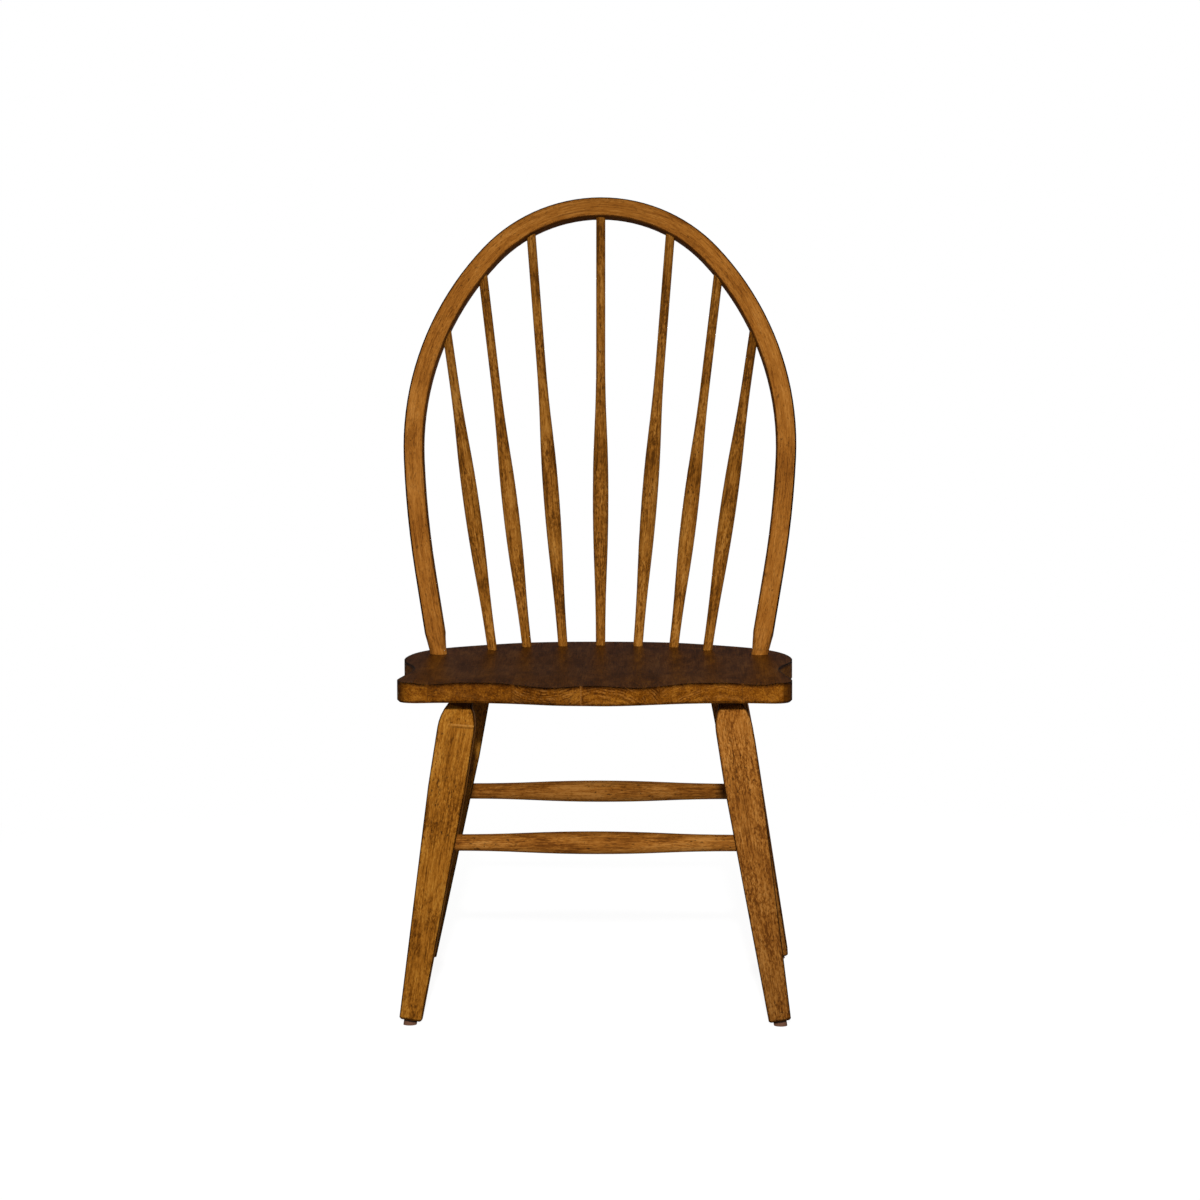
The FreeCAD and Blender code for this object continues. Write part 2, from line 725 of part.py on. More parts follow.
def make_glide_felt(end):
    felt = glide_rod(end, GLIDE_CUP_THICKNESS, GLIDE_LIFT + GLIDE_DIAMETER, GLIDE_DIAMETER)
    return felt.cut(slab_below(0))


# Assembly

nodes = {}
ENDS = ("front", "rear")
PLACES = range(len(spindle_foot_shares))
MIDDLE_SPINDLE = len(spindle_foot_shares)


def both_sides(shape):
    return [mirrored(shape), shape]


def cut_all(shape, tools):
    return shape.cut(tools) if tools else shape


seat_holes = both_sides(hoop_mortise())
for place in PLACES:
    hole = spindle_seat_hole(place)
    seat_holes += both_sides(hole) if place else [hole]
for end in ENDS:
    seat_holes += both_sides(leg_seat_hole(end))
seat = cut_all(make_seat_blank(), seat_holes)
for number, board in enumerate(split_seat(seat), 1):
    nodes[f"seat_board_{number}"] = board

hoop_tools = both_sides(make_wedge(BRAD_CLEARANCE))
for place in PLACES:
    tools = [spindle_hoop_hole(place), spindle_brad(place, BRAD_CLEARANCE)]
    for tool in tools:
        hoop_tools += both_sides(tool) if place else [tool]
nodes["hoop"] = cut_all(make_hoop(), hoop_tools)
nodes["hoop_wedge_left"], nodes["hoop_wedge_right"] = both_sides(make_wedge(0.0))

spindle_brads = []
for place in PLACES:
    spindle = make_spindle(place).cut(spindle_brad(place, BRAD_CLEARANCE))
    pin = spindle_brad(place, 0.0)
    if place:
        names = [f"spindle_{MIDDLE_SPINDLE + side * place}" for side in (-1, 1)]
        nodes[names[0]], nodes[names[1]] = both_sides(spindle)
        spindle_brads += both_sides(pin)
    else:
        nodes[f"spindle_{MIDDLE_SPINDLE}"] = spindle
        spindle_brads.append(pin)
nodes["spindle_brads"] = Part.makeCompound(spindle_brads)

stretcher_brads = []
nails = []
for end in ENDS:
    brad_holes = [stretcher_brad(which, end, BRAD_CLEARANCE) for which in (end, "side")]
    leg_tools = [stretcher_hole(end), stretcher_hole("side"), glide_nail(end, BRAD_CLEARANCE)]
    leg = cut_all(make_leg(end), leg_tools + brad_holes)
    nodes[f"leg_{end}_left"], nodes[f"leg_{end}_right"] = both_sides(leg)
    stretcher = cut_all(make_stretcher(end), both_sides(brad_holes[0]))
    nodes[f"stretcher_{end}"] = stretcher
    for which in (end, "side"):
        stretcher_brads += both_sides(stretcher_brad(which, end, 0.0))
    nails += both_sides(glide_nail(end, 0.0))
    nodes[f"glide_cup_{end}_left"], nodes[f"glide_cup_{end}_right"] = both_sides(make_glide_cup(end))
    nodes[f"glide_felt_{end}_left"], nodes[f"glide_felt_{end}_right"] = both_sides(make_glide_felt(end))
side_brad_holes = [stretcher_brad("side", end, BRAD_CLEARANCE) for end in ENDS]
side_stretcher = cut_all(make_stretcher("side"), side_brad_holes)
nodes["stretcher_left"], nodes["stretcher_right"] = both_sides(side_stretcher)
nodes["stretcher_brads"] = Part.makeCompound(stretcher_brads)
nodes["glide_nails"] = Part.makeCompound(nails)

# The origin goes under the middle of the chair's outline.
front_edge = nodes["seat_board_3"].optimalBoundingBox(False).YMin
back_edge = max(nodes[name].optimalBoundingBox(False).YMax for name in ("hoop", "leg_rear_left"))
shift = Vector(0, -(front_edge + back_edge) / 2, 0)
for name, shape in nodes.items():
    moved = shape.copy()
    moved.translate(shift)
    moved.exportStep(f"parts/{name}.step")

all_valid = all(shape.isValid() for shape in nodes.values())
print("nodes", len(nodes), "shift", round(shift.y, 3), "all valid", all_valid)
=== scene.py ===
import math
from collections import namedtuple

import bpy
from mathutils import Matrix, Vector

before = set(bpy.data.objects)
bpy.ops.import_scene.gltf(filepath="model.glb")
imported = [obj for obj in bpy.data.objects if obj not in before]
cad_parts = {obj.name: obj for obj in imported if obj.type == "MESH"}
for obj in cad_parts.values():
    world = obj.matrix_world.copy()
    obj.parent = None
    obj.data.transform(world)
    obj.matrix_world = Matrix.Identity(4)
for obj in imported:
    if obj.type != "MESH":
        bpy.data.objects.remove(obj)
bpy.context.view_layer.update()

# Sizes of the chair that its surfaces follow, with lengths in metres. The front is towards -Y.
# Depths are measured from the seat's front edge, and this shift takes them into the frame.
DEPTH_SHIFT = -0.226009
SEAT_HEIGHT = 0.457
SEAT_HALF_WIDTH = 0.263

# Where two boards of the seat meet, as X
GLUE_LINES = [share * SEAT_HALF_WIDTH for share in (-0.82, -0.402, -0.062, 0.32, 0.73)]
HOOP_FOOT_DEPTH = 0.304 + DEPTH_SHIFT
HOOP_TOP = 0.6406
HOOP_LEAN = math.radians(15)
HOOP_UP = (0.0, math.sin(HOOP_LEAN), math.cos(HOOP_LEAN))
HOOP_BACK = (0.0, math.cos(HOOP_LEAN), -math.sin(HOOP_LEAN))

# The hoop's outer edge, from its top down each side: each arc's radius, and its turn in degrees
HOOP_ARCS = ((0.2217, 47.4), (0.4096, 45.5), (1.387, 6.7))

# A noise: its stretch along the grain, scale per metre, detail, roughness and distortion
Noise = namedtuple("Noise", "stretch scale detail roughness distortion", defaults=(2.0, 0.5, 0.0))


def srgb(red, green, blue):
    """A colour given as the eye reads it, from 0 to 255, as Blender wants it."""
    def linear(value):
        value = value / 255
        return value / 12.92 if value <= 0.04045 else ((value + 0.055) / 1.055) ** 2.4

    return (linear(red), linear(green), linear(blue), 1.0)


# Node helpers


class Tree:
    """Short ways to add and link shader nodes."""

    def __init__(self, tree):
        self.tree = tree

    def node(self, kind, **settings):
        made = self.tree.nodes.new(kind)
        for name, value in settings.items():
            setattr(made, name, value)
        return made

    def put(self, socket, value):
        if isinstance(value, bpy.types.NodeSocket):
            self.tree.links.new(value, socket)
        else:
            socket.default_value = value

    def put_all(self, made, values):
        """Fill a node's sockets in their order, and return its first output."""
        for socket, value in zip(made.inputs, values):
            self.put(socket, value)
        return made.outputs[0]

    def math(self, operation, first, second=0.0, third=0.0, clamp=False):
        made = self.node("ShaderNodeMath", operation=operation, use_clamp=clamp)
        return self.put_all(made, (first, second, third))

    def plus(self, first, second):
        return self.math("ADD", first, second)

    def minus(self, first, second):
        return self.math("SUBTRACT", first, second)

    def times(self, first, second):
        return self.math("MULTIPLY", first, second)

    def away(self, value, middle):
        """How far a value lies from a middle one, either way."""
        return self.math("ABSOLUTE", self.minus(value, middle))

    def reach(self, first, second):
        """The length of a line that goes this far along two axes."""
        return self.math("SQRT", self.plus(self.times(first, first), self.times(second, second)))

    def vector(self, operation, first, second):
        made = self.node("ShaderNodeVectorMath", operation=operation)
        self.put(made.inputs[0], first)
        self.put(made.inputs[1], second)
        return made.outputs["Vector"]

    def dot(self, first, second):
        made = self.node("ShaderNodeVectorMath", operation="DOT_PRODUCT")
        self.put(made.inputs[0], first)
        self.put(made.inputs[1], second)
        return made.outputs["Value"]

    def parts(self, vector):
        made = self.node("ShaderNodeSeparateXYZ")
        self.put(made.inputs[0], vector)
        return made.outputs[0], made.outputs[1], made.outputs[2]

    def join(self, x, y, z):
        return self.put_all(self.node("ShaderNodeCombineXYZ"), (x, y, z))

    def place(self):
        """The shaded point. The chair's nodes stand at the origin, so this is the frame's own point."""
        return self.node("ShaderNodeTexCoord").outputs["Object"]

    def surface_fact(self, name):
        """What the surface says of itself, such as its Normal or True Normal."""
        return self.node("ShaderNodeNewGeometry").outputs[name]

    def bevel_normal(self, radius, samples):
        """The normal as it would be with edges rounded by this radius."""
        made = self.node("ShaderNodeBevel", samples=samples)
        made.inputs["Radius"].default_value = radius
        return made.outputs["Normal"]

    def noise(self, point, noise):
        if noise.stretch != 1.0:
            point = self.vector("MULTIPLY", point, (1.0, 1.0, noise.stretch))
        made = self.node("ShaderNodeTexNoise")
        self.put(made.inputs["Vector"], point)
        made.inputs["Scale"].default_value = noise.scale
        made.inputs["Detail"].default_value = noise.detail
        made.inputs["Roughness"].default_value = noise.roughness
        made.inputs["Distortion"].default_value = noise.distortion
        return made.outputs["Fac"]

    def spread(self, value, low, high, to_low=0.0, to_high=1.0, smooth=False):
        """Goes from to_low to to_high while the value goes from low to high, and stays level beyond them."""
        made = self.node("ShaderNodeMapRange", interpolation_type="SMOOTHSTEP" if smooth else "LINEAR")
        return self.put_all(made, (value, low, high, to_low, to_high))

    def mix(self, factor, first, second, blend="MIX"):
        """A mix of colours, which are a Mix node's sockets 6 and 7 and its output 2."""
        made = self.node("ShaderNodeMix", data_type="RGBA", blend_type=blend)
        self.put(made.inputs[0], factor)
        self.put(made.inputs[6], first)
        self.put(made.inputs[7], second)
        return made.outputs[2]

    def mix_vectors(self, factor, first, second):
        """A mix of vectors, which are a Mix node's sockets 4 and 5 and its output 1."""
        made = self.node("ShaderNodeMix", data_type="VECTOR")
        self.put(made.inputs[0], factor)
        self.put(made.inputs[4], first)
        self.put(made.inputs[5], second)
        return made.outputs[1]

    def mix_shaders(self, factor, first, second):
        return self.put_all(self.node("ShaderNodeMixShader"), (factor, first, second))

    def stain(self, factor, colour, glaze):
        """A glaze over a colour: where the factor is 1, the two are multiplied."""
        return self.mix(factor, colour, self.mix(1.0, colour, glaze, "MULTIPLY"))

    def shade(self, colour, tone):
        """A colour made darker or lighter by a tone that changes over the surface."""
        return self.mix(1.0, colour, self.join(tone, tone, tone), "MULTIPLY")

    def ramp(self, value, stops):
        made = self.node("ShaderNodeValToRGB")
        band = made.color_ramp
        while len(band.elements) < len(stops):
            band.elements.new(0.5)
        for element, (position, colour) in zip(band.elements, stops):
            element.position = position
            element.color = colour
        self.put(made.inputs[0], value)
        return made.outputs[0]

    def bump(self, height, strength, distance, normal=None):
        made = self.node("ShaderNodeBump")
        made.inputs["Strength"].default_value = strength
        made.inputs["Distance"].default_value = distance
        self.put(made.inputs["Height"], height)
        if normal is not None:
            self.put(made.inputs["Normal"], normal)
        return made.outputs["Normal"]

    def show(self, shader):
        self.put(self.node("ShaderNodeOutputMaterial").inputs["Surface"], shader)


def new_material(name):
    material = bpy.data.materials.new(name)
    material.use_nodes = True
    material.node_tree.nodes.clear()
    return material, Tree(material.node_tree)


def new_group(name, inputs, outputs):
    group = bpy.data.node_groups.new(name, "ShaderNodeTree")
    for title, kind in inputs:
        group.interface.new_socket(title, in_out="INPUT", socket_type=kind)
    for title, kind in outputs:
        group.interface.new_socket(title, in_out="OUTPUT", socket_type=kind)
    tree = Tree(group)
    return group, tree, tree.node("NodeGroupInput"), tree.node("NodeGroupOutput")


# Wood: the grain, which every wooden piece shares

SEED_STEP = 3.173
SEED_SIDEWAYS = 1.7

# The grain's tone is its middle value, moved by each noise's distance from the noise's own mean
NOISE_MEAN = 0.5
GRAIN_MIDDLE = 0.5
BANDS = Noise(0.09, 130.0, 3.0, 0.6, 0.6)
STREAKS = Noise(0.03, 560.0, 3.0, 0.65, 0.3)
FIBRES = Noise(0.05, 1500.0, 2.0, 0.6)
BLOTCHES = Noise(0.5, 19.0, 4.0, 0.62, 0.8)
FINE_BLOTCHES = Noise(0.22, 110.0, 3.0, 0.6, 0.5)
TONE_SHARES = ((BANDS, 0.5), (STREAKS, 0.9), (FIBRES, 0.75), (BLOTCHES, 0.85), (FINE_BLOTCHES, 0.6))
STREAK_RELIEF = 0.4

MOTTLE = Noise(0.45, 400.0, 4.0, 0.66, 0.5)
MOTTLE_MEAN = 0.52
MOTTLE_FIELD = Noise(0.6, 24.0, 3.0, 0.6)
MOTTLE_STRENGTH = (0.35, 0.65, 0.5, 1.7)

# Pores and specks are dots where a noise passes a limit. The limit follows a wider noise.
PORES = Noise(0.16, 900.0, 1.0)
PORE_FIELD = Noise(0.09, 60.0)
PORE_LIMIT = (0.35, 0.65, 0.72, 0.6)
PORE_SOFTNESS = 0.07
PORE_STRENGTH = 0.5
SPECKS = Noise(0.42, 330.0, 2.0, 0.55, 0.4)
SPECK_FIELD = Noise(1.0, 16.0, 3.0, 0.6)
SPECK_LIMIT = (0.35, 0.68, 0.78, 0.63)
SPECK_SOFTNESS = 0.035


def make_fibre_group():
    """Grain that runs along Z of the given point, in metres: a tone, the dark marks and a height."""
    group, t, given, result = new_group(
        "fibre",
        (
            ("Point", "NodeSocketVector"),
            ("Seed", "NodeSocketFloat"),
            ("Specks", "NodeSocketFloat"),
            ("Mottle", "NodeSocketFloat"),
        ),
        (("Tone", "NodeSocketFloat"), ("Dark", "NodeSocketFloat"), ("Height", "NodeSocketFloat")),
    )
    seed = t.times(given.outputs["Seed"], SEED_STEP)
    shift = t.join(seed, t.times(seed, SEED_SIDEWAYS), seed)
    point = t.vector("ADD", given.outputs["Point"], shift)

    def dots(noise, field, limit, softness):
        edge = t.spread(t.noise(point, field), *limit)
        return t.spread(t.noise(point, noise), t.minus(edge, softness), edge)

    layers = {noise: t.noise(point, noise) for noise, _ in TONE_SHARES}
    tone = 0.0
    for noise, share in TONE_SHARES:
        tone = t.plus(tone, t.times(t.minus(layers[noise], NOISE_MEAN), share))
    tone = t.plus(tone, GRAIN_MIDDLE)
    mottle = t.minus(t.noise(point, MOTTLE), MOTTLE_MEAN)
    mottle = t.times(mottle, t.spread(t.noise(point, MOTTLE_FIELD), *MOTTLE_STRENGTH))
    tone = t.math("ADD", tone, t.times(mottle, given.outputs["Mottle"]), clamp=True)
    pores = t.times(dots(PORES, PORE_FIELD, PORE_LIMIT, PORE_SOFTNESS), PORE_STRENGTH)
    specks = t.times(dots(SPECKS, SPECK_FIELD, SPECK_LIMIT, SPECK_SOFTNESS), given.outputs["Specks"])
    dark = t.math("MAXIMUM", pores, specks, clamp=True)
    t.put(result.inputs["Tone"], tone)
    t.put(result.inputs["Dark"], dark)
    t.put(result.inputs["Height"], t.minus(t.times(layers[STREAKS], STREAK_RELIEF), dark))
    return group


FIBRE = make_fibre_group()

# Wood: stains and lacquer

PORE_COLOUR = srgb(50, 27, 8)
PORE_SHOW = 0.7
BURNISH_AND_EDGE_SHADE = srgb(50, 30, 18)
CORNER_GLAZE_AND_SHADE = srgb(76, 56, 42)
RUB = Noise(1.0, 60.0, 3.0, 0.6)

# How far an edge turns the rounded normal where its burnish and painted edge shade start, and where they are
# full
WEAR_START = 0.004
WEAR_FULL = (0.3, 0.7, 0.03, 0.1)
WEAR_SAMPLES = 6
ROUND_SAMPLES = 4

# Corner glaze, partly painted shade of corners turned from the light, by how squarely a surface faces the
# way that the bar's face does
SIDE_EDGE = (0.12, 0.24)
FACE_EDGE = (0.74, 0.98, 1.0, 0.0)
GLAZE_RUB = (0.3, 0.6, 0.95, 0.75)
GLAZE_FADE = 0.02

# Distances from a glue line within which two boards' meshes have edges that are no edge of the seat
GLUE_LINE_CLEAR = (0.0024, 0.0034)

ROUGHNESS = (0.2, 0.8, 0.46, 0.36)
RELIEF_STRENGTH = 0.35
RELIEF_DISTANCE = 0.00035

# The sine of a straight piece's angle to Y, below which it counts as running along the chair's depth
NEARLY_ALONG_DEPTH = 0.3


def axes_of(start, end):
    """Two directions across a straight piece, the first nearly level and sideways, and the one along it."""
    direction = (Vector(end) - Vector(start)).normalized()
    across = Vector((0, 1, 0)).cross(direction)
    if across.length < NEARLY_ALONG_DEPTH:
        across = Vector((0, 0, 1)).cross(direction)
    across.normalize()
    return across, direction.cross(across), direction


def straight(start, end):
    """Measures the shaded point in a straight piece's own frame, with Z along the piece."""
    def point_maker(t):
        here = t.vector("SUBTRACT", t.place(), tuple(start))
        return t.join(*(t.dot(here, tuple(axis)) for axis in axes_of(start, end)))

    return point_maker


def off_glue_lines(t):
    side = t.parts(t.place())[0]
    clear = 1.0
    for line in GLUE_LINES:
        clear = t.times(clear, t.spread(t.away(side, line), *GLUE_LINE_CLEAR))
    return clear


def corner_glaze_and_shade(t, point, rub, face, lowest, share):
    """Dark glaze on the rounded corners of a bar of squared section, partly painted shade where the corners
    turn from the light, from the height lowest upwards.
    """
    facing = t.math("ABSOLUTE", t.dot(t.surface_fact("True Normal"), tuple(face)))
    corner = t.math("MINIMUM", t.spread(facing, *SIDE_EDGE), t.spread(facing, *FACE_EDGE))
    corner = t.times(corner, t.spread(rub, *GLAZE_RUB))
    if share:
        corner = t.times(corner, share(t, point))
    height = t.parts(t.place())[2]
    return t.times(corner, t.spread(height, lowest, lowest + GLAZE_FADE))


def wood_material(
    name, point_maker, stops, seed, specks=1.0, mottle=0.6, edge=0.0028, rounding=0.0011, gloss=0.12,
    paint=None, board=False, face=None, face_from=0.0, face_share=None,
):
    """Stained wood: fibre tone through a colour ramp, dark pores and specks, edges darkened by burnish and
    painted shade, satin lacquer.

    paint adds the piece's own marks to the colour, and on some pieces painted shade and a painted highlight.
    edge is the reach of the burnish and painted edge shade, and rounding the radius that an edge is shaded
    with. board leaves the glue lines between seat boards out of both. face, given for a bar of squared
    section, adds glaze on its corners, partly painted shade of corners turned from the light, from the
    height face_from upwards, and face_share says how much of it lies where.
    """
    material, t = new_material(name)
    point = point_maker(t)
    fibre = t.node("ShaderNodeGroup")
    fibre.node_tree = FIBRE
    t.put(fibre.inputs["Point"], point)
    fibre.inputs["Seed"].default_value = seed
    fibre.inputs["Specks"].default_value = specks
    fibre.inputs["Mottle"].default_value = mottle
    tone = fibre.outputs["Tone"]
    colour = t.ramp(tone, stops)
    if paint:
        colour = paint(t, point, colour)
    turn = t.minus(1.0, t.dot(t.bevel_normal(edge, WEAR_SAMPLES), t.surface_fact("True Normal")))
    rub = t.noise(point, RUB)
    worn_and_shaded = t.spread(turn, WEAR_START, t.spread(rub, *WEAR_FULL), smooth=True)
    normal = t.bevel_normal(rounding, ROUND_SAMPLES)
    if board:
        clear = off_glue_lines(t)
        worn_and_shaded = t.times(worn_and_shaded, clear)
        normal = t.mix_vectors(clear, t.surface_fact("Normal"), normal)
    if face:
        corner = corner_glaze_and_shade(t, point, rub, face, face_from, face_share)
        # Dark glaze on the corners, partly painted shade of corners turned from the light
        colour = t.stain(corner, colour, CORNER_GLAZE_AND_SHADE)
    # Burnish on the edges, partly painted shade of edges turned from the light
    colour = t.stain(worn_and_shaded, colour, BURNISH_AND_EDGE_SHADE)
    colour = t.mix(t.times(fibre.outputs["Dark"], PORE_SHOW), colour, PORE_COLOUR)
    shader = t.node("ShaderNodeBsdfPrincipled")
    t.put(shader.inputs["Base Color"], colour)
    t.put(shader.inputs["Roughness"], t.spread(tone, *ROUGHNESS))
    shader.inputs["Specular IOR Level"].default_value = gloss
    relief = t.bump(fibre.outputs["Height"], RELIEF_STRENGTH, RELIEF_DISTANCE, normal)
    t.put(shader.inputs["Normal"], relief)
    t.show(shader.outputs[0])
    return material


def give(node, material):
    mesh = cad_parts[node].data
    mesh.materials.clear()
    mesh.materials.append(material)


# Colours that the grain's tone runs through, from dark to light
FRAME_STOPS = (
    (0.14, srgb(108, 60, 16)),
    (0.4, srgb(147, 89, 29)),
    (0.6, srgb(163, 103, 38)),
    (0.86, srgb(183, 123, 56)),
)
LEG_STOPS = (
    (0.12, srgb(93, 51, 6)),
    (0.36, srgb(132, 79, 17)),
    (0.58, srgb(154, 96, 26)),
    (0.86, srgb(175, 119, 43)),
)
ROD_STOPS = (
    (0.14, srgb(86, 49, 10)),
    (0.38, srgb(131, 79, 21)),
    (0.58, srgb(152, 96, 31)),
    (0.86, srgb(175, 119, 50)),
)
SEAT_STOPS = (
    (0.12, srgb(76, 38, 1)),
    (0.38, srgb(108, 58, 3)),
    (0.6, srgb(128, 73, 8)),
    (0.88, srgb(158, 100, 26)),
)
MIDDLE_TONE = 0.49


def tighter(stops, gain):
    """The same colours with more contrast: the tone passes through them in a narrower span."""
    return tuple((MIDDLE_TONE + (place - MIDDLE_TONE) / gain, colour) for place, colour in stops)


# Hoop: the grain follows the bend

HOOP_SEED = 1.3
HOOP_SPECKS = 0.8
HOOP_MOTTLE = 0.45
HOOP_GLAZE_FROM = SEAT_HEIGHT + 0.01

# Distances outwards from the bar's outer edge
HOOP_CORNER_SHARE = (-0.02, -0.006, 0.6, 1.3)
INNER_BAND = (-0.0262, -0.0242, 0.6, 0.0)
# Painted shade near the inner edge, where the inner face turns from the light
INNER_SHADE = srgb(110, 84, 62)
INNER_RAGGED = Noise(1.0, 120.0)
INNER_RAGGED_DEPTH = 0.0012

HOOP_LINES = Noise(0.011, 640.0)
HOOP_LINE_LIMIT = (0.54, 0.66, 0.0, 0.55)
HOOP_LINE_FIELD = Noise(1.0, 14.0)
HOOP_LINE_PLACES = (0.4, 0.62)
HOOP_LINE_STAIN = srgb(132, 104, 76)

# Distances round the bend from its top
HOOP_TOP_TONE = (0.03, 0.22, 0.86, 1.0)


def hoop_point_maker(t):
    """The point measured outwards from the outer edge, across the bar, and round the bend from its top."""
    here = t.vector("SUBTRACT", t.place(), (0.0, HOOP_FOOT_DEPTH, SEAT_HEIGHT))
    x = t.parts(here)[0]
    side = t.math("ABSOLUTE", x)
    rise = t.dot(here, HOOP_UP)
    last_radius = HOOP_ARCS[0][0]
    centre_x, centre_z = 0.0, HOOP_TOP - last_radius
    turned, length = 0.0, 0.0
    out = along = None
    for radius, turn in HOOP_ARCS:
        begin = math.radians(turned)
        centre_x -= (radius - last_radius) * math.sin(begin)
        centre_z -= (radius - last_radius) * math.cos(begin)
        dx = t.minus(side, centre_x)
        dz = t.minus(rise, centre_z)
        angle = t.math("ARCTAN2", dx, dz)
        this_out = t.minus(t.reach(dx, dz), radius)
        this_along = t.math("MULTIPLY_ADD", t.minus(angle, begin), radius, length)
        if out is None:
            out, along = this_out, this_along
        else:
            past = t.math("GREATER_THAN", angle, begin)
            out = t.plus(out, t.times(past, t.minus(this_out, out)))
            along = t.plus(along, t.times(past, t.minus(this_along, along)))
        last_radius = radius
        turned += turn
        length += radius * math.radians(turn)
    return t.join(out, t.dot(here, HOOP_BACK), t.times(along, t.math("SIGN", x)))


def hoop_corner_share(t, point):
    """The corner glaze and its painted shade are thick outside the bend and thin inside it."""
    return t.spread(t.parts(point)[0], *HOOP_CORNER_SHARE)


def hoop_paint(t, point, colour):
    """Long grain lines, painted shade near the inner edge, and a deeper tone round the top of the bend."""
    out, _, along = t.parts(point)
    lines = t.spread(t.noise(point, HOOP_LINES), *HOOP_LINE_LIMIT)
    lines = t.times(lines, t.spread(t.noise(point, HOOP_LINE_FIELD), *HOOP_LINE_PLACES))
    colour = t.stain(lines, colour, HOOP_LINE_STAIN)
    ragged = t.plus(out, t.times(t.noise(point, INNER_RAGGED), INNER_RAGGED_DEPTH))
    # Painted shade along the inner edge
    colour = t.stain(t.spread(ragged, *INNER_BAND), colour, INNER_SHADE)
    return t.shade(colour, t.spread(t.math("ABSOLUTE", along), *HOOP_TOP_TONE, smooth=True))


def dress_hoop():
    give("hoop", wood_material(
        "wood_hoop", hoop_point_maker, FRAME_STOPS, HOOP_SEED, specks=HOOP_SPECKS, mottle=HOOP_MOTTLE,
        paint=hoop_paint, face=HOOP_BACK, face_from=HOOP_GLAZE_FROM, face_share=hoop_corner_share,
    ))


# Wedges: the grain runs across the chair

WEDGE_SEED = 5.1


def dress_wedges():
    wood = wood_material("wood_wedge", straight((0, 0, 0), (1, 0, 0)), ROD_STOPS, WEDGE_SEED)
    give("hoop_wedge_left", wood)
    give("hoop_wedge_right", wood)


# Spindles, stretchers and legs: the grain runs along each one

# Distances from a piece's ends within which stain gathers at its mortises and painted shade falls on a leg's
# neck under the seat, and the colour of both
MORTISE_EDGE = (0.0, 0.004)
STRETCHER_MORTISE_EDGE = (0.013, 0.018)
NECK_SHADE = (0.027, 0.033, 0.9, 0.0)
END_STRENGTH = 0.75
END_STAIN_AND_NECK_SHADE = srgb(110, 84, 64)
END_RAGGED = Noise(1.0, 150.0)
END_RAGGED_DEPTH = 0.003

# Tones at a piece's lower end and at its upper end
SPINDLE_TONES = (1.05, 0.78)
LEFT_LEG_TONES = (0.9, 1.02)
RIGHT_LEG_TONES = (0.64, 1.0)

SPINDLES = 7
SPINDLE_SEED = 2.0
SPINDLE_SEED_STEP = 1.37
SPINDLE_GAIN = 1.4
SPINDLE_MOTTLE = 1.0

# Each stretcher's place, seed and tone
STRETCHERS = (("front", 26.0, 0.9), ("rear", 25.0, 0.77), ("left", 25.0, 0.84), ("right", 26.0, 0.84))
STRETCHER_GAIN = 1.5

LEG_SEEDS = {"front_left": 58.1, "front_right": 60.81, "rear_left": 68.94, "rear_right": 71.65}
LEG_EDGE = 0.0034
LEFT_LEG_GAIN = 1.25
LEFT_LEG_MOTTLE = 1.15
RIGHT_LEG_GAIN = 1.4
RIGHT_LEG_MOTTLE = 1.6

# Two saw strokes on the front left leg's shoulder: their place, slope, reach to the side, and width
SAW_MARK_HEIGHT = 0.3932
SAW_MARK_SIDE = -0.186
SAW_MARK_SLOPE = 0.08
SAW_MARK_REACH = (SAW_MARK_SIDE - 0.008, SAW_MARK_SIDE + 0.004)
SAW_MARK_WIDTH = (0.0003, 0.0016, 0.5, 0.0)
# A painted highlight along one stroke, and a dark line along the other
SAW_HIGHLIGHT_AND_DARK_STROKE = ((0.0016, srgb(196, 140, 70)), (-0.0014, srgb(72, 42, 10)))

# To find a piece's axis: the share of its length that counts as an end, how often to look again, and
# the rise above which it counts as upright
END_SHARE = 0.03
AXIS_ROUNDS = 3
UPRIGHT = 0.5


def mean(points):
    return sum(points, Vector()) / len(points)


def ends_of(node):
    """A slender piece's axis, as the means of its two ends' points: the lower, left or front one first."""
    points = [vertex.co.copy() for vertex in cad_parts[node].data.vertices]
    middle = mean(points)
    far = max(points, key=lambda point: (point - middle).length)
    way = (far - middle).normalized()
    for _ in range(AXIS_ROUNDS):
        reach = [(point - middle).dot(way) for point in points]
        top, bottom = max(reach), min(reach)
        end = END_SHARE * (top - bottom)
        upper = mean([point for point, at in zip(points, reach) if at > top - end])
        lower = mean([point for point, at in zip(points, reach) if at < bottom + end])
        way = (upper - lower).normalized()
    upward = way.z if abs(way.z) > UPRIGHT else way.x + way.y
    return (lower, upper) if upward > 0 else (upper, lower)


def saw_marks(t, colour):
    """Two fine saw strokes: a painted highlight along one, and a dark line along the other."""
    side, _, height = t.parts(t.place())
    sloped = t.plus(height, t.times(t.minus(side, SAW_MARK_SIDE), SAW_MARK_SLOPE))
    reach = t.spread(side, *SAW_MARK_REACH)
    # A painted highlight, then a dark line
    for offset, shade in SAW_HIGHLIGHT_AND_DARK_STROKE:
        stroke = t.spread(t.away(sloped, SAW_MARK_HEIGHT + offset), *SAW_MARK_WIDTH)
        colour = t.mix(t.times(stroke, reach), colour, shade)
    return colour


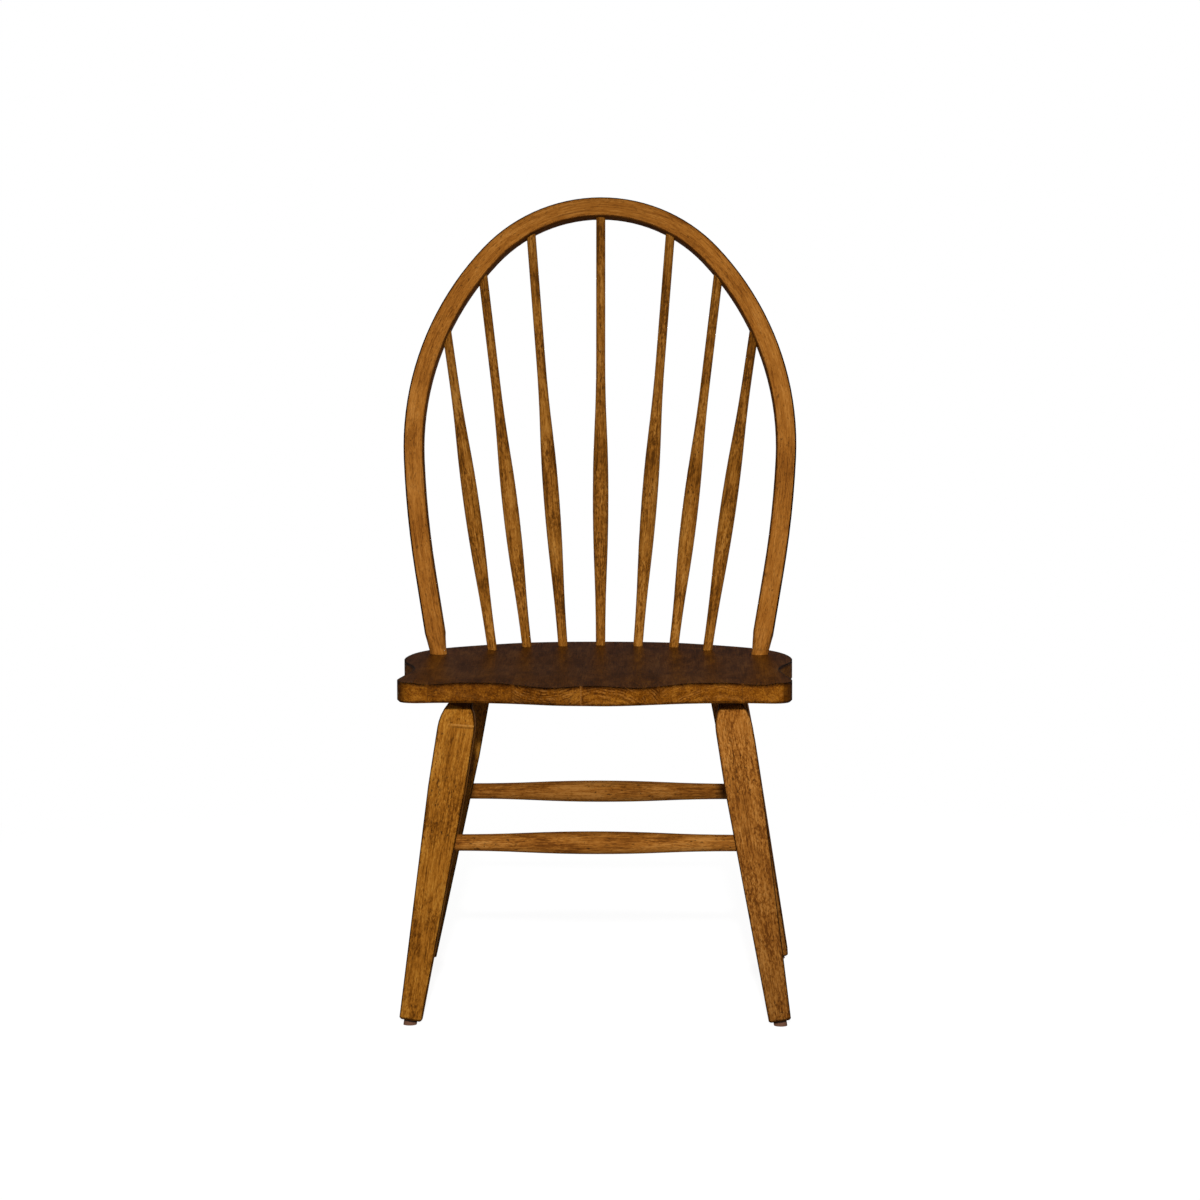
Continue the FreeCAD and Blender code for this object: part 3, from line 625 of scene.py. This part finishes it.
def dress_rod(node, stops, seed, mortise_edge, tones, **others):
    """Wood for a straight piece, stained darker at its mortises and with painted shade at a leg's neck under
    the seat, with a tone that changes along it.
    """
    start, end = ends_of(node)
    length = (end - start).length
    half = length / 2
    is_leg = node.startswith("leg")

    def paint(t, point, colour):
        if node == "leg_front_left":
            colour = saw_marks(t, colour)
        along = t.parts(point)[2]
        inside = t.minus(half, t.away(along, half))
        ragged = t.plus(inside, t.times(t.noise(point, END_RAGGED), END_RAGGED_DEPTH))
        glaze = t.spread(ragged, *mortise_edge, END_STRENGTH, 0.0, smooth=True)
        if is_leg:
            # Painted shade of the seat on the leg's neck
            neck_shade = t.spread(t.minus(length, along), *NECK_SHADE, smooth=True)
            glaze = t.math("MAXIMUM", glaze, neck_shade)
        colour = t.stain(glaze, colour, END_STAIN_AND_NECK_SHADE)
        return t.shade(colour, t.spread(along, 0.0, length, *tones))

    if is_leg:
        others["face"] = axes_of(start, end)[1]
    give(node, wood_material(f"wood_{node}", straight(start, end), stops, seed, paint=paint, **others))


def dress_rods():
    stops = tighter(ROD_STOPS, SPINDLE_GAIN)
    for number in range(1, SPINDLES + 1):
        seed = SPINDLE_SEED + SPINDLE_SEED_STEP * number
        dress_rod(f"spindle_{number}", stops, seed, MORTISE_EDGE, SPINDLE_TONES, mottle=SPINDLE_MOTTLE)
    stops = tighter(FRAME_STOPS, STRETCHER_GAIN)
    for place, seed, tone in STRETCHERS:
        dress_rod(f"stretcher_{place}", stops, seed, STRETCHER_MORTISE_EDGE, (tone, tone))
    for place, seed in LEG_SEEDS.items():
        if "left" in place:
            stops, tones, mottle = tighter(LEG_STOPS, LEFT_LEG_GAIN), LEFT_LEG_TONES, LEFT_LEG_MOTTLE
        else:
            stops, tones, mottle = tighter(FRAME_STOPS, RIGHT_LEG_GAIN), RIGHT_LEG_TONES, RIGHT_LEG_MOTTLE
        dress_rod(f"leg_{place}", stops, seed, MORTISE_EDGE, tones, mottle=mottle, edge=LEG_EDGE)


# Seat: six boards whose grain runs from front to back, so their ends show rings on the front edge

# Of each board, from left to right: its tone, the middle of its rings as X and height, and how they show
BOARDS = (
    (0.94, (-0.30, 0.20), 0.2),
    (0.92, (-0.21, 0.29), 0.3),
    (0.88, (-0.066, 0.515), 1.0),
    (0.95, (0.010, 0.385), 0.8),
    (1.03, (0.165, 0.33), 0.6),
    (1.06, (0.31, 0.30), 0.4),
)
SEAT_SEED = 0.7
SEAT_SEED_STEP = 3.9
SEAT_GAIN = 1.35
SEAT_LOOK = {"specks": 0.8, "mottle": 0.9, "edge": 0.0045, "rounding": 0.0022, "gloss": 0.2}

RING_WANDER = Noise(0.12, 22.0)
RING_WANDER_DEPTH = 0.016
RING_RIPPLE = Noise(0.3, 170.0, 3.0, 0.6)
RING_RIPPLE_DEPTH = 0.0022
RING_PACE = Noise(1.0, 60.0)
RING_PACE_SPAN = (0.3, 0.7, 0.75, 1.25)
RING_RATE = 900.0
RING_BREAKS = Noise(1.0, 95.0, 4.0, 0.7, 1.0)
RING_BREAK_SPAN = (0.42, 0.6)
RING_LEVEL = (0.3, 0.7)
DARK_RING_SPAN = (0.0, 1.0)
DARK_RING_STAIN = srgb(140, 124, 100)
LIGHT_RING_SPAN = (-0.5, -1.0)
LIGHT_RING_STRENGTH = 0.6
LIGHT_RING = srgb(176, 118, 52)

# Painted shade: the top is darker than the edges. It is where the normal points up.
TOP_FACING = (0.5, 0.95)
TOP_SHADE = srgb(210, 204, 200)

# Painted shade on what faces sideways, and at the front corners, whose bounds are given as X and as Y
SIDE_FACING = (0.3, 0.8, 0.0, 0.6)
LEFT_CORNER = (-0.2565, -0.249, 0.5, 0.0)
RIGHT_CORNER = (0.2443, 0.2455, 0.0, 0.65)
CORNER_DEPTH = (-0.2, -0.18, 1.0, 0.0)
SIDE_SHADE = srgb(122, 116, 108)

# Painted shade: a dark rim under the top edge, where a wide rounding would turn the surface upwards
RIM_RADIUS = 0.008
RIM_SAMPLES = 6
RIM_RISE = (0.05, 0.25, 0.0, 0.9)
RIM_SHADE = srgb(84, 58, 40)

GLUE_LINE_WIDTH = (0.0002, 0.0007, 0.5, 0.0)
GLUE_LINE_ON_TOP = (0.0, 1.0, 1.0, 0.25)
GLUE_LINE_COLOUR = srgb(62, 34, 10)
LIGHT_GLUE_LINE = 2
LIGHT_GLUE_LINE_COLOUR = srgb(176, 122, 62)


def seat_point_maker(t):
    """Z of the grain's frame is the chair's depth."""
    x, y, z = t.parts(t.place())
    return t.join(x, z, y)


def end_rings(t, point, colour, normal_z, centre, strength):
    """Rings about a centre, drawn where the surface is steep: dark lines, and light ones between them."""
    x, z, _ = t.parts(point)
    reach = t.reach(t.minus(x, centre[0]), t.minus(z, centre[1]))
    reach = t.plus(reach, t.times(t.noise(point, RING_WANDER), RING_WANDER_DEPTH))
    reach = t.plus(reach, t.times(t.noise(point, RING_RIPPLE), RING_RIPPLE_DEPTH))
    pace = t.spread(t.noise(t.join(reach, 0.0, 0.0), RING_PACE), *RING_PACE_SPAN)
    rings = t.math("SINE", t.times(t.times(reach, RING_RATE), pace))
    shown = t.spread(normal_z, *RING_LEVEL, strength, 0.0)
    shown = t.times(shown, t.spread(t.noise(point, RING_BREAKS), *RING_BREAK_SPAN))
    dark = t.times(t.spread(rings, *DARK_RING_SPAN), shown)
    light = t.times(t.times(t.spread(rings, *LIGHT_RING_SPAN), shown), LIGHT_RING_STRENGTH)
    colour = t.stain(dark, colour, DARK_RING_STAIN)
    return t.mix(light, colour, LIGHT_RING)


def glue_lines(t, x, top, colour):
    for number, place in enumerate(GLUE_LINES):
        line = t.spread(t.away(x, place), *GLUE_LINE_WIDTH)
        line = t.times(line, t.spread(top, *GLUE_LINE_ON_TOP))
        shade = LIGHT_GLUE_LINE_COLOUR if number == LIGHT_GLUE_LINE else GLUE_LINE_COLOUR
        colour = t.mix(line, colour, shade)
    return colour


def board_paint(tone, ring_centre, ring_strength):
    def paint(t, point, colour):
        x, _, y = t.parts(point)
        normal_x, _, normal_z = t.parts(t.surface_fact("Normal"))
        colour = end_rings(t, point, colour, normal_z, ring_centre, ring_strength)

        top = t.spread(normal_z, *TOP_FACING)
        off_top = t.minus(1.0, top)
        # Painted shade on the top
        colour = t.stain(top, colour, TOP_SHADE)

        sideways = t.spread(t.math("ABSOLUTE", normal_x), *SIDE_FACING)
        corner = t.math("MAXIMUM", t.spread(x, *RIGHT_CORNER), t.spread(x, *LEFT_CORNER))
        corner = t.times(corner, t.spread(y, *CORNER_DEPTH))
        aside = t.math("MAXIMUM", sideways, t.times(corner, off_top))
        # Painted shade on the flanks and the front corners, where the surface turns from the light
        colour = t.stain(aside, colour, SIDE_SHADE)

        rise = t.spread(t.parts(t.bevel_normal(RIM_RADIUS, RIM_SAMPLES))[2], *RIM_RISE)
        # Painted shade of a wider rounding along the top edge
        colour = t.stain(t.times(rise, off_top), colour, RIM_SHADE)

        colour = glue_lines(t, x, top, colour)
        return t.mix(1.0, colour, (tone, tone, tone, 1.0), "MULTIPLY")

    return paint


def dress_seat():
    stops = tighter(SEAT_STOPS, SEAT_GAIN)
    for number, (tone, ring_centre, ring_strength) in enumerate(BOARDS):
        paint = board_paint(tone, ring_centre, ring_strength)
        seed = SEAT_SEED_STEP * number + SEAT_SEED
        give(f"seat_board_{number + 1}", wood_material(
            f"wood_seat_{number + 1}", seat_point_maker, stops, seed, paint=paint, board=True, **SEAT_LOOK,
        ))


# Glides and fasteners

CLOUD_DETAIL = 4.0
CLOUD_FINENESS = 0.6
CLOUD_DARK = 0.35
CLOUD_LIGHT = 0.65
CLOUD_SPAN = (0.3, 0.7)
ROUGHNESS_SWING = 0.08
PLAIN_RELIEF_STRENGTH = 0.4
PLAIN_RELIEF_DISTANCE = 0.0003


def plain_material(name, dark, light, scale, roughness, metallic=0.0):
    """Two near colours in a fine cloud, which the roughness and the relief follow."""
    material, t = new_material(name)
    cloud = t.noise(t.place(), Noise(1.0, scale, CLOUD_DETAIL, CLOUD_FINENESS))
    shader = t.node("ShaderNodeBsdfPrincipled")
    t.put(shader.inputs["Base Color"], t.ramp(cloud, ((CLOUD_DARK, dark), (CLOUD_LIGHT, light))))
    swing = (roughness - ROUGHNESS_SWING, roughness + ROUGHNESS_SWING)
    t.put(shader.inputs["Roughness"], t.spread(cloud, *CLOUD_SPAN, *swing))
    shader.inputs["Metallic"].default_value = metallic
    t.put(shader.inputs["Normal"], t.bump(cloud, PLAIN_RELIEF_STRENGTH, PLAIN_RELIEF_DISTANCE))
    t.show(shader.outputs[0])
    return material


def dress_glides_and_fasteners():
    cup = plain_material("glide_cup", srgb(34, 24, 18), srgb(52, 38, 28), 900.0, 0.5)
    felt = plain_material("glide_felt", srgb(92, 62, 46), srgb(124, 88, 68), 2600.0, 0.9)
    steel = plain_material("steel", srgb(120, 118, 114), srgb(168, 166, 160), 1500.0, 0.35, metallic=1.0)
    for place in LEG_SEEDS:
        give(f"glide_cup_{place}", cup)
        give(f"glide_felt_{place}", felt)
    for node in ("spindle_brads", "stretcher_brads", "glide_nails"):
        give(node, steel)


# Floor, surroundings and lamps

FLOOR_SIZE = 9.0
FLOOR_DROP = 0.0002
FLOOR_GREY = (0.25, 0.25, 0.25, 1.0)
FLOOR_GREY_IN_GLOSS = (0.05, 0.05, 0.05, 1.0)
FLOOR_GLOW = 0.9

# Distances from the origin between which the floor that the camera sees goes from shadowed to plain white
FLOOR_CLEARS = (0.7, 1.7)

ROOM_IN_GLOSS = 0.065
ROOM_LIGHT = 0.06
WHITE = (1.0, 1.0, 1.0, 1.0)

# A small hard lamp near the camera lights the front, as in the photograph, with a weak fill beside it, and
# larger lamps light the sides and the back. None of them shows in the lacquer.
# Each lamp's name, place, the height on the Z axis that it points at, size in metres, and watts
LAMPS = (
    ("key", (0.12, -6.0, 2.15), 0.6, 0.22, 362),
    ("fill", (-0.4, -5.6, 1.3), 0.5, 1.8, 15),
    ("side_left", (-6.0, 1.0, 0.9), 0.6, 1.2, 50),
    ("side_right", (6.0, 1.0, 0.9), 0.6, 1.2, 50),
    ("rear_left", (-2.25, 5.56, 0.9), 0.6, 1.2, 170),
    ("rear_right", (2.25, 5.56, 0.9), 0.6, 1.2, 170),
)


def make_floor():
    """White to the camera, with the chair's faint shadow near it, grey to light, and clear from below."""
    bpy.ops.mesh.primitive_plane_add(size=FLOOR_SIZE, location=(0, 0, -FLOOR_DROP))
    floor = bpy.context.object
    floor.name = "floor"
    material, t = new_material("floor")
    plain = t.node("ShaderNodeBsdfDiffuse")
    plain.inputs["Color"].default_value = FLOOR_GREY
    dim = t.node("ShaderNodeBsdfDiffuse")
    dim.inputs["Color"].default_value = FLOOR_GREY_IN_GLOSS
    glow = t.node("ShaderNodeEmission")
    glow.inputs["Strength"].default_value = FLOOR_GLOW
    near = t.put_all(t.node("ShaderNodeAddShader"), (plain.outputs[0], glow.outputs[0]))
    white = t.node("ShaderNodeEmission").outputs[0]
    distance = t.node("ShaderNodeVectorMath", operation="LENGTH")
    t.put(distance.inputs[0], t.place())
    clears = t.spread(distance.outputs["Value"], *FLOOR_CLEARS, smooth=True)
    path = t.node("ShaderNodeLightPath")
    lit = t.mix_shaders(path.outputs["Is Glossy Ray"], plain.outputs[0], dim.outputs[0])
    above = t.mix_shaders(path.outputs["Is Camera Ray"], lit, t.mix_shaders(clears, near, white))
    below = t.node("ShaderNodeBsdfTransparent").outputs[0]
    t.show(t.mix_shaders(t.surface_fact("Backfacing"), above, below))
    floor.data.materials.append(material)


def make_world():
    """White where the camera looks past the chair, and a dim room for gloss and for light."""
    world = bpy.data.worlds.new("studio")
    bpy.context.scene.world = world
    world.use_nodes = True
    world.node_tree.nodes.clear()
    t = Tree(world.node_tree)
    path = t.node("ShaderNodeLightPath")
    strength = t.math("MAXIMUM", path.outputs["Is Camera Ray"], path.outputs["Is Transmission Ray"])
    strength = t.math("MAXIMUM", strength, t.times(path.outputs["Is Glossy Ray"], ROOM_IN_GLOSS))
    strength = t.math("MAXIMUM", strength, t.times(path.outputs["Is Diffuse Ray"], ROOM_LIGHT))
    background = t.node("ShaderNodeBackground")
    background.inputs["Color"].default_value = WHITE
    t.put(background.inputs["Strength"], strength)
    t.put(t.node("ShaderNodeOutputWorld").inputs["Surface"], background.outputs[0])


def make_lamp(name, place, target_height, size, watts):
    data = bpy.data.lights.new(name, "AREA")
    data.shape = "DISK"
    data.size = size
    data.energy = watts
    lamp = bpy.data.objects.new(name, data)
    bpy.context.scene.collection.objects.link(lamp)
    way = Vector((0, 0, target_height)) - Vector(place)
    lamp.matrix_world = Matrix.Translation(place) @ way.to_track_quat("-Z", "Y").to_matrix().to_4x4()
    lamp.visible_glossy = False


# Camera, solved from the photograph

# The photograph's side and the focal length are in its pixels, and the lengths below them in metres
PHOTO_SIDE = 1200
FOCAL_PIXELS = 3889.5
DISTANCE = 4.9893
EYE_HEIGHT = 1.1228
PITCH = math.radians(6.383)
AZIMUTH = math.radians(1.225)
ROLL = math.radians(0.1)
PIVOT_DEPTH = 0.220
SIDE_STEP = 0.0032
FARTHEST = 60

# In millimetres, as Blender wants it
SENSOR_WIDTH = 36


def make_camera():
    right = Vector((math.cos(AZIMUTH), math.sin(AZIMUTH), 0))
    level = Vector((-math.sin(AZIMUTH), math.cos(AZIMUTH), 0))
    forward = level * math.cos(PITCH) - Vector((0, 0, math.sin(PITCH)))
    up = right.cross(forward)
    pivot = Vector((0, PIVOT_DEPTH + DEPTH_SHIFT, EYE_HEIGHT))
    place = pivot - level * (DISTANCE + PIVOT_DEPTH) + right * SIDE_STEP
    tilted_up = up * math.cos(ROLL) + right * math.sin(ROLL)
    tilted_right = right * math.cos(ROLL) - up * math.sin(ROLL)
    data = bpy.data.cameras.new("camera")
    data.sensor_width = SENSOR_WIDTH
    data.lens = FOCAL_PIXELS / PHOTO_SIDE * data.sensor_width
    data.clip_end = FARTHEST
    camera = bpy.data.objects.new("camera", data)
    bpy.context.scene.collection.objects.link(camera)
    turn = Matrix((tilted_right, tilted_up, -forward)).transposed().to_4x4()
    camera.matrix_world = Matrix.Translation(place) @ turn
    bpy.context.scene.camera = camera


dress_hoop()
dress_wedges()
dress_rods()
dress_seat()
dress_glides_and_fasteners()
make_floor()
make_world()
for lamp in LAMPS:
    make_lamp(*lamp)
make_camera()
bpy.context.scene.view_settings.view_transform = "Standard"
